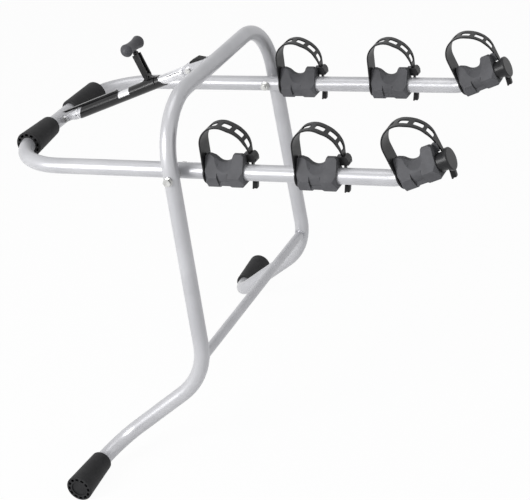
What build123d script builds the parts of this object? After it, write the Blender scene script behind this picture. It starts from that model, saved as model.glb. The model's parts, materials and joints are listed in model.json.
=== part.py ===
from build123d import *
import os
from math import atan2, cos, degrees, radians, sin, sqrt, tan

# A trunk mounted bike rack: a bent main frame, a U of two carrying arms on a cross pivot,
# a telescoping strut with a lever, six tube cradles with rubber straps, and four pads.
# Millimetres. The origin is the middle of the pivot axis, +X runs out along the arms,
# away from the car, +Z is up, and -Y is the near side.

# Tube stock and fits
tube_d = 28.0
tube_wall = 1.5
body_gap = 0.3
pin_gap = 0.05
bore_gap = 0.15
overrun = 10.0

# Main frame: one bent tube, with its feet turned outwards
pivot_half_width = 240.3
leg_lean = 1.64
leg_splay_share = 0.045
top_rise = 121.5
knee_drop = 379.7
foot_reach = 185.0
foot_drop = 526.0
foot_half_width = 291.0
top_bend_r = 108.0
knee_bend_r = 120.0
foot_bend_r = 75.0
crossbar_d = 18.0
crossbar_drop = 345.0

# Carrying arms: one bent tube
arm_half_width = 205.5
base_reach = 353.5
base_bend_r = 112.0
tip_reach = 389.0
tip_angle = 22.0
tip_bend_r = 45.0
tip_length = 95.6
far_arm_short = 9.0

# Rubber pads
pad_length = 90.0
pad_inner_r = 19.5
pad_outer_r = 24.5
pad_edge_r = 2.0
pocket_count = 12
pocket_depth = 22.0
pocket_wide = 6.4
pocket_deep = 4.6
pocket_corner = 1.4
pocket_ring_r = 18.9
foot_pad_start = 347.0
foot_pad_floor = 8.0
foot_disc_sink = 2.0
near_pad_start = 30.0
far_pad_start = 50.0

# Main pivot fasteners
pivot_bolt_r = 4.0
pivot_head_h = 5.3
pivot_hex = 13.0
pivot_washer_r = 8.5
pivot_washer_t = 1.6
pivot_nut_h = 6.5
pivot_thread_end = 3.0
spacer_r = 8.0

# Strut: lower pin, upper bolt, and what lies along its axis from the lower pin
strut_foot_x = -332.5
strut_foot_z = 4.6
strut_head_x = -57.4
strut_head_z = 105.0
strut_pin_r = 3.0
strut_hex = 10.0
strut_head_h = 4.0
strut_nut_h = 5.0
lug_r = 6.3
lug_t = 3.0
tab_t = 6.0
tab_neck_end = 9.0
ferrule_start = 21.0
ferrule_end = 60.0
ferrule_hole_at = 29.0
ferrule_hole_r = 2.2
ferrule_hole_depth = 4.0
outer_r = 11.0
outer_wall = 1.4
outer_start = 33.0
outer_end = 236.0
outer_rake = 12.0
window_start = 132.0
window_length = 27.0
inner_wall = 1.5
inner_start = 92.0
blade_neck_start = 246.0
blade_start = 268.0
blade_width = 18.6
blade_t = 6.0
float_across = 4.5
float_along = 1.0
rail_start = 0.0
rail_end = 130.0
rail_t = 3.6
rail_width = 8.0
rail_nose = 6.0

# Bracket on the top tube
bracket_r = 11.0
bracket_t = 3.0
bracket_gap = 0.5
cap_start = 9.0
cap_end = 39.0
cap_width = 15.0
cap_low = 3.5
cap_high = 6.5

# Lever on the strut
lever_at = 206.0
lever_pin_rise = 18.0
lever_pin_r = 2.5
lever_top = 62.0
lever_width = 11.0
lever_cheek_t = 2.6
lever_hub_r = 5.2
lever_web_t = 2.0
lever_web_rise = 8.0
mount_start = 194.0
mount_length = 24.0
mount_band_t = 1.6
mount_lug_t = 9.4
mount_lug_r = 5.0
mount_lug_foot = 17.0
grip_rise = 78.0
grip_half_length = 34.0
grip_lobe_at = 24.0
grip_lobe_r = 12.0
grip_waist_r = 9.6
grip_end_r = 9.0
grip_neck_r = 3.4
grip_neck_start = 50.0
rod_r = 2.2

# Cradle: its left face stands across the arm, and the bike's tube lies in its saddle
cradle_length = 69.0
cradle_bottom = 22.0
cradle_left_top = 33.0
cradle_left_apex = 8.5
cradle_right_top = 33.5
cradle_half_width = 22.5
cradle_top_half = 4.0
cradle_foot_half = 14.5
cradle_belt_drop = 3.0
collar_length = 21.0
neck_r = 19.3
neck_start = 22.0
neck_end = 42.0
neck_block_half = 10.0
end_half_width = 17.5
saddle_r = 17.0
saddle_x = 34.0
saddle_floor = 19.5
saddle_left_slope = 44.0
saddle_right_slope = 66.0
saddle_lip_x = 19.0
saddle_flat_half = 5.0
saddle_flare = 45.0
cradle_right_flat = 14.0
cradle_right_shoulder = 30.5
cradle_lower_chamfer = 3.5
cradle_left_chamfer = 2.0
notch_start = 27.0
notch_end = 43.0
notch_depth = 2.0
buckle_cheek_in = 6.5
buckle_cheek_t = 2.2
buckle_far = 25.0
buckle_root = 62.0
buckle_web_end = 71.9
buckle_end = 75.6
buckle_top = 28.0
catch_start = 76.1
catch_end = 84.5
catch_round = 6.0
screw_r = 2.5
screw_head_r = 4.5
screw_head_h = 2.6
screw_bite = 3.0

# Strap: an eye round the arm, an arch over the saddle and a tail past the buckle
strap_t = 3.3
strap_half_width = 18.0
strap_eye_r = 21.0
strap_root_rise = 24.0
strap_side_z = 67.0
strap_crown_x = (15.4, 40.5, 62.3)
strap_crown_z = (84.4, 87.9, 72.7)
strap_drop_x = 74.0
strap_drop_z = (52.5, 10.0)
strap_tail_x = (73.0, 69.0)
strap_tail_z = (-14.0, -38.0)
strap_bends = (33.0, 30.0, 36.0, 52.0, 42.0, 100.0, 100.0)
strap_taper_start = 50.0
strap_turn_near = -4.0
strap_near_edge = 9.5
strap_tail_near = 16.1
strap_far_edge = 24.5
strap_slot_length = 13.5
strap_slot_width = 8.0
strap_slot_shares = (0.345, 0.447, 0.549, 0.645)

# Cradles along the arms, by their left faces: along the straight arm, then past the tip bend
near_cradle_x = (55.0, 221.0)
far_cradle_x = (33.0, 216.0)
tip_cradle_at = 10.0

# End caps on the arm tips
cap_sleeve_r = 15.6
cap_head_r = 19.5
cap_head_t = 5.5
cap_edge_r = 2.0

tube_r = tube_d / 2
tube_bore_r = tube_r - tube_wall
lean = radians(leg_lean)

os.makedirs("parts", exist_ok=True)


def save(piece, name):
    """Label a finished piece and write it under its own name."""
    piece.part.label = name
    export_step(piece.part, f"parts/{name}.step")


def leg_point(rise, side):
    """A point on a leg's straight centre line, by its distance above the pivot."""
    spread = pivot_half_width - rise * leg_splay_share
    return Vector(-rise * sin(lean), side * spread, rise * cos(lean))


def bent_bar(points, bends, radius, bore=0.0, holes=()):
    """A round bar bent along straight runs and tangent arcs. A bore makes it a drilled tube."""
    with BuildPart() as bar:
        with BuildLine() as route:
            FilletPolyline(*points, radius=bends)
        start = Plane(origin=route.line @ 0, z_dir=route.line % 0)
        with BuildSketch(start):
            Circle(radius)
        sweep(path=route.line)
        if bore:
            with BuildSketch(start):
                Circle(bore)
            sweep(path=route.line, mode=Mode.SUBTRACT)
            with BuildSketch(Plane.XZ):
                Circle(pivot_bolt_r + pin_gap)
            extrude(amount=pivot_half_width + tube_d, both=True, mode=Mode.SUBTRACT)
            for hole in holes:
                with BuildSketch(hole):
                    Circle(screw_r + pin_gap)
                extrude(amount=-tube_r, mode=Mode.SUBTRACT)
    return bar


def across(side, distance):
    """A plane square to the pivot axis, facing outwards on its side."""
    return Plane(origin=(0, side * distance, 0), x_dir=(1, 0, 0), z_dir=(0, side, 0))


# The main frame's route, from the near foot over the top to the far foot
foot_stub_end = foot_pad_start + pad_length - foot_pad_floor
frame_route = []
for side in (-1, 1):
    half = [
        Vector(-foot_reach, side * foot_stub_end, -foot_drop),
        Vector(-foot_reach, side * foot_half_width, -foot_drop),
        leg_point(-knee_drop, side),
        leg_point(top_rise, side),
    ]
    frame_route += half if side < 0 else half[::-1]
half_bends = [foot_bend_r, knee_bend_r, top_bend_r]
frame_bends = half_bends + half_bends[::-1]
frame_bar = bent_bar(frame_route, frame_bends, tube_r)
frame_tube = bent_bar(frame_route, frame_bends, tube_r, tube_bore_r)
save(frame_tube, "frame_tube")

# The arms' route, from the near tip round the base to the far tip
tip_tilt = radians(tip_angle)
tip_corners = {-1: tip_reach, 1: tip_reach - far_arm_short}


def tip_point(side, along, rise=0.0):
    """A point by its distance past the tip bend's corner, and above the tip's axis."""
    return Vector(
        tip_corners[side] + along * cos(tip_tilt) - rise * sin(tip_tilt),
        side * arm_half_width,
        along * sin(tip_tilt) + rise * cos(tip_tilt),
    )


arm_route = [
    tip_point(-1, tip_length),
    tip_point(-1, 0),
    Vector(-base_reach, -arm_half_width, 0),
    Vector(-base_reach, arm_half_width, 0),
    tip_point(1, 0),
    tip_point(1, tip_length),
]
arm_bends = [tip_bend_r, base_bend_r, base_bend_r, tip_bend_r]

# Each cradle's seat: the middle of its left face, its first axis out along the arm
cradle_seats = {}
for side, place, faces in ((-1, "near", near_cradle_x), (1, "far", far_cradle_x)):
    for number, face_x in enumerate(faces, 1):
        cradle_seats[f"{place}_{number}"] = Plane(origin=(face_x, side * arm_half_width, 0))
    cradle_seats[f"{place}_{len(faces) + 1}"] = Plane(
        origin=tip_point(side, tip_cradle_at),
        x_dir=(cos(tip_tilt), 0, sin(tip_tilt)),
        z_dir=(-sin(tip_tilt), 0, cos(tip_tilt)),
    )
screw_holes = [
    Plane(
        origin=seat.from_local_coords((saddle_x, 0, 0)),
        x_dir=seat.x_dir,
        z_dir=seat.z_dir,
    )
    for seat in cradle_seats.values()
]
arm_bar = bent_bar(arm_route, arm_bends, tube_r)
arm_tube = bent_bar(arm_route, arm_bends, tube_r, tube_bore_r, screw_holes)
save(arm_tube, "arm_tube")

# The lower crossbar is coped to the legs, where the knee bend has begun
knee_turn = (leg_point(top_rise, 1) - leg_point(-knee_drop, 1)).get_angle(
    leg_point(-knee_drop, 1) - Vector(-foot_reach, foot_half_width, -foot_drop)
)
knee_tangent = knee_bend_r * tan(radians(knee_turn / 2))
bend_run = knee_tangent - (knee_drop - crossbar_drop)
bend_sag = knee_bend_r - sqrt(knee_bend_r**2 - bend_run**2)
bar_seat = leg_point(-crossbar_drop, 1)
with BuildPart() as lower_crossbar:
    seat = Plane(origin=(bar_seat.X - bend_sag, 0, bar_seat.Z), x_dir=(1, 0, 0), z_dir=(0, 1, 0))
    with BuildSketch(seat):
        Circle(crossbar_d / 2)
        Circle(crossbar_d / 2 - tube_wall, mode=Mode.SUBTRACT)
    extrude(amount=bar_seat.Y, both=True)
    add(frame_bar.part, mode=Mode.SUBTRACT)
save(lower_crossbar, "lower_crossbar")

# Pads: tapered rubber sleeves, with a ring of pockets in the large end
pad_taper = -degrees(atan2(pad_outer_r - pad_inner_r, pad_length))


def pad(start, heading, bar, closed):
    """A pad on its tube, from its small end, with a closed or an open large end."""
    large_end = start + heading * pad_length
    with BuildPart() as sleeve:
        with BuildSketch(Plane(origin=start, z_dir=heading)):
            Circle(pad_inner_r)
        extrude(amount=pad_length, taper=pad_taper)
        fillet(sleeve.edges().filter_by(GeomType.CIRCLE), radius=pad_edge_r)
        with BuildSketch(Plane(origin=large_end, z_dir=-heading)):
            with PolarLocations(pocket_ring_r, pocket_count):
                RectangleRounded(pocket_deep, pocket_wide, pocket_corner)
        extrude(amount=pocket_depth, mode=Mode.SUBTRACT)
        if closed:
            with BuildSketch(Plane(origin=large_end, z_dir=-heading)):
                Circle(tube_r)
            extrude(amount=foot_disc_sink, mode=Mode.SUBTRACT)
        add(bar.part, mode=Mode.SUBTRACT)
    return sleeve


def base_line(offset, side):
    """The base tube's centre line, straight at first and then round its corner."""
    straight = arm_half_width - base_bend_r
    bend = max(offset - straight, 0)
    sag = base_bend_r - sqrt(base_bend_r**2 - bend**2)
    return Vector(sag - base_reach, side * offset, 0)


for side, place in ((-1, "near"), (1, "far")):
    start = Vector(-foot_reach, side * foot_pad_start, -foot_drop)
    foot_pad = pad(start, Vector(0, side, 0), frame_bar, closed=True)
    save(foot_pad, f"foot_pad_{place}")

for side, place, offset in ((-1, "near", near_pad_start), (1, "far", far_pad_start)):
    start = base_line(offset, side)
    heading = (base_line(offset + pad_length, side) - start).normalized()
    base_pad = pad(start, heading, arm_bar, closed=False)
    save(base_pad, f"base_pad_{place}")

# Main pivots: bolt and washer outside each leg, spacer between, washer and nut inside the arm
leg_out = pivot_half_width + tube_r + pivot_washer_r * leg_splay_share
leg_in = pivot_half_width - tube_r - spacer_r * leg_splay_share
arm_out = arm_half_width + tube_r + body_gap
arm_in = arm_half_width - tube_r - body_gap
nut_face = arm_in - pivot_washer_t
thread_end = nut_face - pivot_nut_h - pivot_thread_end
head_seat = leg_out + pivot_washer_t

with BuildPart() as pivot_bolts:
    for side in (-1, 1):
        with BuildSketch(across(side, thread_end)):
            Circle(pivot_bolt_r)
        extrude(amount=head_seat - thread_end)
        with BuildSketch(across(side, head_seat)):
            RegularPolygon(pivot_hex / 2, 6, major_radius=False)
        extrude(amount=pivot_head_h)
save(pivot_bolts, "pivot_bolts")

with BuildPart() as pivot_nuts:
    for side in (-1, 1):
        with BuildSketch(across(side, nut_face - pivot_nut_h)):
            RegularPolygon(pivot_hex / 2, 6, major_radius=False)
            Circle(pivot_bolt_r + pin_gap, mode=Mode.SUBTRACT)
        extrude(amount=pivot_nut_h)
save(pivot_nuts, "pivot_nuts")

with BuildPart() as pivot_washers:
    for side in (-1, 1):
        for seat_y in (nut_face, leg_out):
            with BuildSketch(across(side, seat_y)):
                Circle(pivot_washer_r)
                Circle(pivot_bolt_r + pin_gap, mode=Mode.SUBTRACT)
            extrude(amount=pivot_washer_t)
save(pivot_washers, "pivot_washers")

with BuildPart() as pivot_spacers:
    for side in (-1, 1):
        with BuildSketch(across(side, arm_out)):
            Circle(spacer_r)
            Circle(pivot_bolt_r + pin_gap, mode=Mode.SUBTRACT)
        extrude(amount=leg_in - arm_out)
save(pivot_spacers, "pivot_spacers")

# The strut's axis, and planes along and across it
strut_foot = Vector(strut_foot_x, 0, strut_foot_z)
strut_head = Vector(strut_head_x, 0, strut_head_z)
strut_dir = (strut_head - strut_foot).normalized()
strut_length = (strut_head - strut_foot).length
strut_up = Vector(-strut_dir.Z, 0, strut_dir.X)
strut_side = Plane(origin=strut_foot, x_dir=strut_dir, z_dir=(0, -1, 0))


def strut_point(along, rise=0.0, out=0.0):
    """A point by its distance along the strut, above its axis and towards the far side."""
    return strut_foot + strut_dir * along + strut_up * rise + Vector(0, out, 0)


def strut_cross(along):
    """A plane square to the strut, its first axis along +Y."""
    return Plane(origin=strut_point(along), x_dir=(0, 1, 0), z_dir=strut_dir)


inner_r = outer_r - outer_wall - body_gap
outer_bore_r = outer_r - outer_wall

# Base lug: two ears on the base tube, either side of the strut's tab
lug_in = tab_t / 2 + body_gap
foot_in_side = strut_side.to_local_coords(Vector(-base_reach, 0, 0))
with BuildPart() as base_lug:
    with BuildSketch(strut_side):
        Circle(lug_r)
        with Locations((foot_in_side.X, foot_in_side.Y)):
            Circle(lug_r)
        make_hull()
        Circle(strut_pin_r + pin_gap, mode=Mode.SUBTRACT)
    extrude(amount=lug_in + lug_t, both=True)
    with BuildSketch(strut_side):
        Circle(base_reach)
    extrude(amount=lug_in, both=True, mode=Mode.SUBTRACT)
    add(arm_bar.part, mode=Mode.SUBTRACT)
save(base_lug, "base_lug")


def cross_bolt(centre, grip, name):
    """A bolt along Y through two ears, and its nut on the far side."""
    with BuildPart() as bolt:
        head = Plane(origin=centre + Vector(0, -grip, 0), x_dir=(1, 0, 0), z_dir=(0, -1, 0))
        with BuildSketch(head):
            RegularPolygon(strut_hex / 2, 6, major_radius=False)
        extrude(amount=strut_head_h)
        with BuildSketch(head):
            Circle(strut_pin_r)
        extrude(amount=-(2 * grip + strut_nut_h + tube_wall))
    save(bolt, f"{name}_bolt")
    with BuildPart() as nut:
        with BuildSketch(Plane(origin=centre + Vector(0, grip, 0), x_dir=(1, 0, 0), z_dir=(0, 1, 0))):
            RegularPolygon(strut_hex / 2, 6, major_radius=False)
            Circle(strut_pin_r + pin_gap, mode=Mode.SUBTRACT)
        extrude(amount=strut_nut_h)
    save(nut, f"{name}_nut")


cross_bolt(strut_foot, lug_in + lug_t, "strut_base")

# Ferrule: a tube plug drawn flat into a drilled tab
with BuildPart() as strut_ferrule:
    with BuildSketch(strut_side):
        Circle(lug_r)
        with Locations((tab_neck_end / 2, 0)):
            Rectangle(tab_neck_end, 2 * lug_r)
    extrude(amount=tab_t / 2, both=True)
    with BuildSketch(strut_cross(tab_neck_end)):
        RectangleRounded(tab_t, 2 * lug_r, tab_t / 2 - tube_wall)
    with BuildSketch(strut_cross(ferrule_start)):
        Circle(outer_bore_r - bore_gap)
    loft()
    with BuildSketch(strut_cross(ferrule_start)):
        Circle(outer_bore_r - bore_gap)
    extrude(amount=ferrule_end - ferrule_start)
    with BuildSketch(strut_side):
        Circle(strut_pin_r + pin_gap)
    extrude(amount=outer_r, both=True, mode=Mode.SUBTRACT)
    with BuildSketch(strut_side.offset(outer_r)):
        with Locations((ferrule_hole_at, 0)):
            Circle(ferrule_hole_r)
    extrude(amount=-ferrule_hole_depth, mode=Mode.SUBTRACT)
save(strut_ferrule, "strut_ferrule")

# Outer tube, raked at both ends, with its window
with BuildPart() as strut_outer:
    with BuildSketch(strut_cross(outer_start)):
        Circle(outer_r)
        Circle(outer_bore_r, mode=Mode.SUBTRACT)
    extrude(amount=outer_end - outer_start)
    with BuildSketch(strut_side):
        for tip, lean_in in ((outer_start, outer_rake), (outer_end, -outer_rake)):
            with BuildLine():
                Polyline((tip, -outer_r), (tip + lean_in, outer_r), (tip, outer_r), close=True)
            make_face()
        with Locations((window_start + window_length / 2, outer_r)):
            Rectangle(window_length, 2 * outer_r)
    extrude(amount=outer_r, both=True, mode=Mode.SUBTRACT)
save(strut_outer, "strut_outer")

# Rail along the top of the outer tube
with BuildPart() as strut_rail:
    with BuildSketch(strut_side):
        with BuildLine():
            Polyline(
                (rail_start + rail_nose, outer_r),
                (rail_end, outer_r),
                (rail_end, outer_r + rail_t),
                (rail_start, outer_r + rail_t),
                close=True,
            )
        make_face()
    extrude(amount=rail_width / 2, both=True)
save(strut_rail, "strut_rail")

# Inner tube, drawn flat at its upper end, where a cross slot gives the bolt its float
with BuildPart() as strut_inner:
    with BuildSketch(strut_cross(inner_start)):
        Circle(inner_r)
    extrude(amount=blade_neck_start - inner_start)
    with BuildSketch(strut_cross(blade_neck_start)):
        Circle(inner_r)
    with BuildSketch(strut_cross(blade_start)):
        RectangleRounded(blade_t, blade_width, blade_t / 2 - tube_wall)
    loft()
    with BuildSketch(strut_side):
        with Locations((strut_length, 0)):
            Circle(blade_width / 2)
        with Locations(((strut_length + blade_start) / 2, 0)):
            Rectangle(strut_length - blade_start, blade_width)
    extrude(amount=blade_t / 2, both=True)
    with BuildSketch(strut_cross(inner_start)):
        Circle(inner_r - inner_wall)
    extrude(amount=blade_neck_start - inner_start, mode=Mode.SUBTRACT)
    slot_length = 2 * (strut_pin_r + float_across)
    slot_width = 2 * (strut_pin_r + float_along)
    with BuildSketch(strut_side):
        with Locations((strut_length, 0)):
            SlotOverall(slot_length, slot_width, rotation=90)
    extrude(amount=blade_t, both=True, mode=Mode.SUBTRACT)
save(strut_inner, "strut_inner")

# Bracket on the top tube: two ears that hold the upper bolt
top_centre = leg_point(top_rise, 1)
top_centre = Vector(top_centre.X, 0, top_centre.Z)
bracket_dir = (top_centre - strut_head).normalized()
bracket_reach = (top_centre - strut_head).length
bracket_side = Plane(origin=strut_head, x_dir=bracket_dir, z_dir=(0, -1, 0))
bracket_in = blade_t / 2 + bracket_gap
with BuildPart() as strut_bracket:
    with BuildSketch(bracket_side):
        Circle(bracket_r)
        with Locations((bracket_reach, 0)):
            Circle(bracket_r)
        make_hull()
        Circle(strut_pin_r + pin_gap, mode=Mode.SUBTRACT)
    extrude(amount=bracket_in + bracket_t, both=True)
    with BuildSketch(bracket_side):
        Circle(bracket_reach)
    extrude(amount=bracket_in, both=True, mode=Mode.SUBTRACT)
    add(frame_bar.part, mode=Mode.SUBTRACT)
save(strut_bracket, "strut_bracket")

cross_bolt(strut_head, bracket_in + bracket_t, "strut_top")

with BuildPart() as bracket_cap:
    with BuildSketch(bracket_side):
        with BuildLine():
            Polyline(
                (cap_start, bracket_r),
                (cap_start + cap_low / 2, bracket_r + cap_low),
                (cap_end - 2 * cap_high, bracket_r + cap_high),
                (cap_end, bracket_r),
                close=True,
            )
        make_face()
    extrude(amount=cap_width / 2, both=True)
    add(frame_bar.part, mode=Mode.SUBTRACT)
save(bracket_cap, "bracket_cap")

# Lever mount: a band over the outer tube with a lug for the lever's pin
lever_pin_at = (lever_at, lever_pin_rise)
band_r = outer_r + mount_band_t
with BuildPart() as lever_mount:
    with BuildSketch(strut_cross(mount_start)):
        Circle(band_r)
        with Locations((0, -band_r)):
            Rectangle(2 * band_r, 2 * band_r, mode=Mode.SUBTRACT)
    extrude(amount=mount_length)
    with BuildSketch(strut_side):
        with Locations(lever_pin_at):
            Circle(mount_lug_r)
        with Locations((lever_at, outer_r)):
            Rectangle(mount_lug_foot, mount_band_t)
        make_hull()
    extrude(amount=mount_lug_t / 2, both=True)
    with BuildSketch(strut_cross(mount_start)):
        Circle(outer_r)
    extrude(amount=mount_length, mode=Mode.SUBTRACT)
    with BuildSketch(strut_side):
        with Locations(lever_pin_at):
            Circle(lever_pin_r + pin_gap)
    extrude(amount=mount_lug_t, both=True, mode=Mode.SUBTRACT)
save(lever_mount, "lever_mount")

cheek_in = mount_lug_t / 2 + body_gap
cheek_out = cheek_in + lever_cheek_t
with BuildPart() as lever_pin:
    with BuildSketch(strut_side):
        with Locations(lever_pin_at):
            Circle(lever_pin_r)
    extrude(amount=cheek_out + lever_pin_r / 2, both=True)
save(lever_pin, "lever_pin")

# Lever channel: two cheeks on the pin, joined by a web on the side that folds down
with BuildPart() as lever_channel:
    with BuildSketch(strut_side):
        with Locations(lever_pin_at):
            Circle(lever_hub_r)
        with Locations((lever_at, (lever_pin_rise + lever_top) / 2)):
            Rectangle(lever_width, lever_top - lever_pin_rise)
        with Locations(lever_pin_at):
            Circle(lever_pin_r + pin_gap, mode=Mode.SUBTRACT)
    extrude(amount=cheek_out, both=True)
    web_foot = lever_pin_rise + lever_web_rise
    with BuildSketch(strut_side):
        with Locations((lever_at, (web_foot - lever_hub_r) / 2)):
            Rectangle(2 * lever_width, web_foot + lever_hub_r)
        with Locations((lever_at + lever_web_t, (web_foot + lever_top) / 2)):
            Rectangle(lever_width, lever_top - web_foot + overrun)
    extrude(amount=cheek_in, both=True, mode=Mode.SUBTRACT)
save(lever_channel, "lever_channel")

# Pull rod in the channel, and the T grip on its neck
lever_axis = Plane(origin=strut_point(lever_at), x_dir=(0, 1, 0), z_dir=strut_up)
with BuildPart() as lever_rod:
    with BuildSketch(lever_axis.offset(web_foot)):
        Circle(rod_r)
    extrude(amount=grip_neck_start - web_foot)
save(lever_rod, "lever_rod")

grip_centre = strut_point(lever_at, grip_rise)
with BuildPart() as lever_grip:
    with BuildSketch(Plane(origin=grip_centre, x_dir=(0, 1, 0), z_dir=strut_dir)):
        with BuildLine():
            shoulder = (grip_half_length + grip_lobe_at) / 2
            ends = []
            for way in (-1, 1):
                ThreePointArc(
                    (way * grip_half_length, 0),
                    (way * shoulder, grip_end_r),
                    (way * grip_lobe_at, grip_lobe_r),
                )
                ends.append((way * grip_lobe_at, grip_lobe_r))
            ThreePointArc(ends[0], (0, grip_waist_r), ends[1])
            Line((-grip_half_length, 0), (grip_half_length, 0))
        make_face()
    revolve(axis=Axis(grip_centre, (0, 1, 0)))
    with BuildSketch(lever_axis.offset(grip_neck_start)):
        Circle(grip_neck_r)
    extrude(amount=grip_rise - grip_neck_start)
save(lever_grip, "lever_grip")

# Cradle moulding, made once and set in place six times: x along the arm, z up
left_rise = radians(saddle_left_slope)
right_rise = radians(saddle_right_slope)
saddle_z = saddle_floor + saddle_r
saddle_left = (saddle_x - saddle_r * sin(left_rise), saddle_z - saddle_r * cos(left_rise))
saddle_right = (saddle_x + saddle_r * sin(right_rise), saddle_z - saddle_r * cos(right_rise))


def saddle_side(top):
    """Where the saddle's two straight flanks reach a height, left and right."""
    left = saddle_left[0] - (top - saddle_left[1]) / tan(left_rise)
    right = saddle_right[0] + (top - saddle_right[1]) / tan(right_rise)
    return left, right


saddle_lip = (saddle_lip_x, saddle_left[1] + (saddle_left[0] - saddle_lip_x) * tan(left_rise))
apex_right = saddle_side(cradle_right_top)[1]
cradle_bore_r = tube_r + bore_gap
screw_seat = notch_depth + screw_head_h - cradle_bottom
buckle_floor = cap_sleeve_r + body_gap
with BuildPart() as cradle_mould:
    with BuildSketch(Plane.XZ):
        with BuildLine():
            ThreePointArc(saddle_left, (saddle_x, saddle_floor), saddle_right)
            Polyline(
                saddle_right,
                (apex_right, cradle_right_top),
                (apex_right + cradle_right_flat, cradle_right_top),
                (cradle_length, cradle_right_shoulder),
                (cradle_length, cradle_lower_chamfer - cradle_bottom),
                (cradle_length - cradle_lower_chamfer, -cradle_bottom),
                (notch_end + notch_depth, -cradle_bottom),
                (notch_end, notch_depth - cradle_bottom),
                (notch_start, notch_depth - cradle_bottom),
                (notch_start - notch_depth, -cradle_bottom),
                (cradle_left_chamfer, -cradle_bottom),
                (0, -cradle_half_width / 2),
                (0, cradle_left_top - cradle_left_chamfer),
                (cradle_left_chamfer, cradle_left_top),
                (cradle_left_apex, cradle_left_top),
                saddle_lip,
                saddle_left,
            )
        make_face()
    extrude(amount=cradle_half_width, both=True)
    with BuildSketch(Plane.YZ):
        with BuildLine():
            Polyline(
                (-cradle_foot_half, -cradle_bottom),
                (cradle_foot_half, -cradle_bottom),
                (cradle_half_width, -cradle_belt_drop),
                (cradle_top_half, cradle_right_top),
                (-cradle_top_half, cradle_right_top),
                (-cradle_half_width, -cradle_belt_drop),
                close=True,
            )
        make_face()
    extrude(amount=cradle_length, mode=Mode.INTERSECT)
    with BuildSketch(Plane.XY.offset(-cradle_bottom)):
        with BuildLine():
            plan = [
                (0, end_half_width),
                (collar_length / 3, cradle_half_width),
                (cradle_length - collar_length / 3, cradle_half_width),
                (cradle_length, end_half_width),
            ]
            Polyline(*plan, *[(x, -y) for x, y in reversed(plan)], close=True)
        make_face()
    extrude(amount=cradle_bottom + cradle_right_top, mode=Mode.INTERSECT)
    # Between its two ends the cradle is drawn in to a round neck
    with BuildSketch(Plane.YZ.offset(neck_start)):
        Rectangle(2 * cradle_length, 2 * cradle_length)
        Circle(neck_r, mode=Mode.SUBTRACT)
        with Locations((0, saddle_z)):
            Rectangle(2 * neck_block_half, 2 * saddle_z, mode=Mode.SUBTRACT)
        with Locations((0, -cradle_bottom)):
            Rectangle(2 * cradle_foot_half, 2 * (cradle_bottom - cradle_belt_drop), mode=Mode.SUBTRACT)
    extrude(amount=neck_end - neck_start, mode=Mode.SUBTRACT)
    # The saddle's edges flare towards both sides
    above = cradle_right_top + overrun
    far_left, far_right = saddle_side(above)
    saddle_low = (saddle_x, saddle_floor)
    for side in (-1, 1):
        flank = Plane(origin=(0, side * saddle_flat_half, 0), x_dir=(-side, 0, 0), z_dir=(0, side, 0))
        rim = [saddle_left, saddle_low, saddle_right, (far_right, above), (far_left, above), saddle_left]
        rim = [(-side * x, z) for x, z in rim]
        with BuildSketch(flank):
            with BuildLine():
                ThreePointArc(*rim[:3])
                Polyline(*rim[2:])
            make_face()
        flare_depth = cradle_half_width - saddle_flat_half
        extrude(amount=flare_depth, taper=-saddle_flare, mode=Mode.SUBTRACT)
    # Buckle: a cheek beside the strap's end and a web that closes its left side
    with BuildSketch(Plane.XZ.offset(-buckle_cheek_in)):
        with BuildLine():
            Polyline(
                (buckle_root, buckle_floor),
                (buckle_root, cradle_right_shoulder),
                (buckle_end, cradle_right_shoulder),
                (buckle_end, buckle_floor),
                close=True,
            )
        make_face()
    extrude(amount=-buckle_cheek_t)
    with BuildSketch(Plane.XZ.offset(-buckle_cheek_in)):
        with Locations(((buckle_root + buckle_web_end) / 2, (buckle_floor + buckle_top) / 2)):
            Rectangle(buckle_web_end - buckle_root, buckle_top - buckle_floor)
    extrude(amount=buckle_cheek_in - buckle_far)
    # Bore for the arm, and a hole for the fixing screw under the neck
    with BuildSketch(Plane.YZ.offset(-overrun)):
        Circle(cradle_bore_r)
    extrude(amount=cradle_length + 3 * overrun, mode=Mode.SUBTRACT)
    for hole_r, hole_top in ((screw_r + pin_gap, 0), (screw_head_r + pin_gap, screw_seat)):
        with BuildSketch(Plane.XY.offset(-cradle_bottom)):
            with Locations((saddle_x, 0)):
                Circle(hole_r)
        extrude(amount=cradle_bottom + hole_top, mode=Mode.SUBTRACT)

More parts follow.
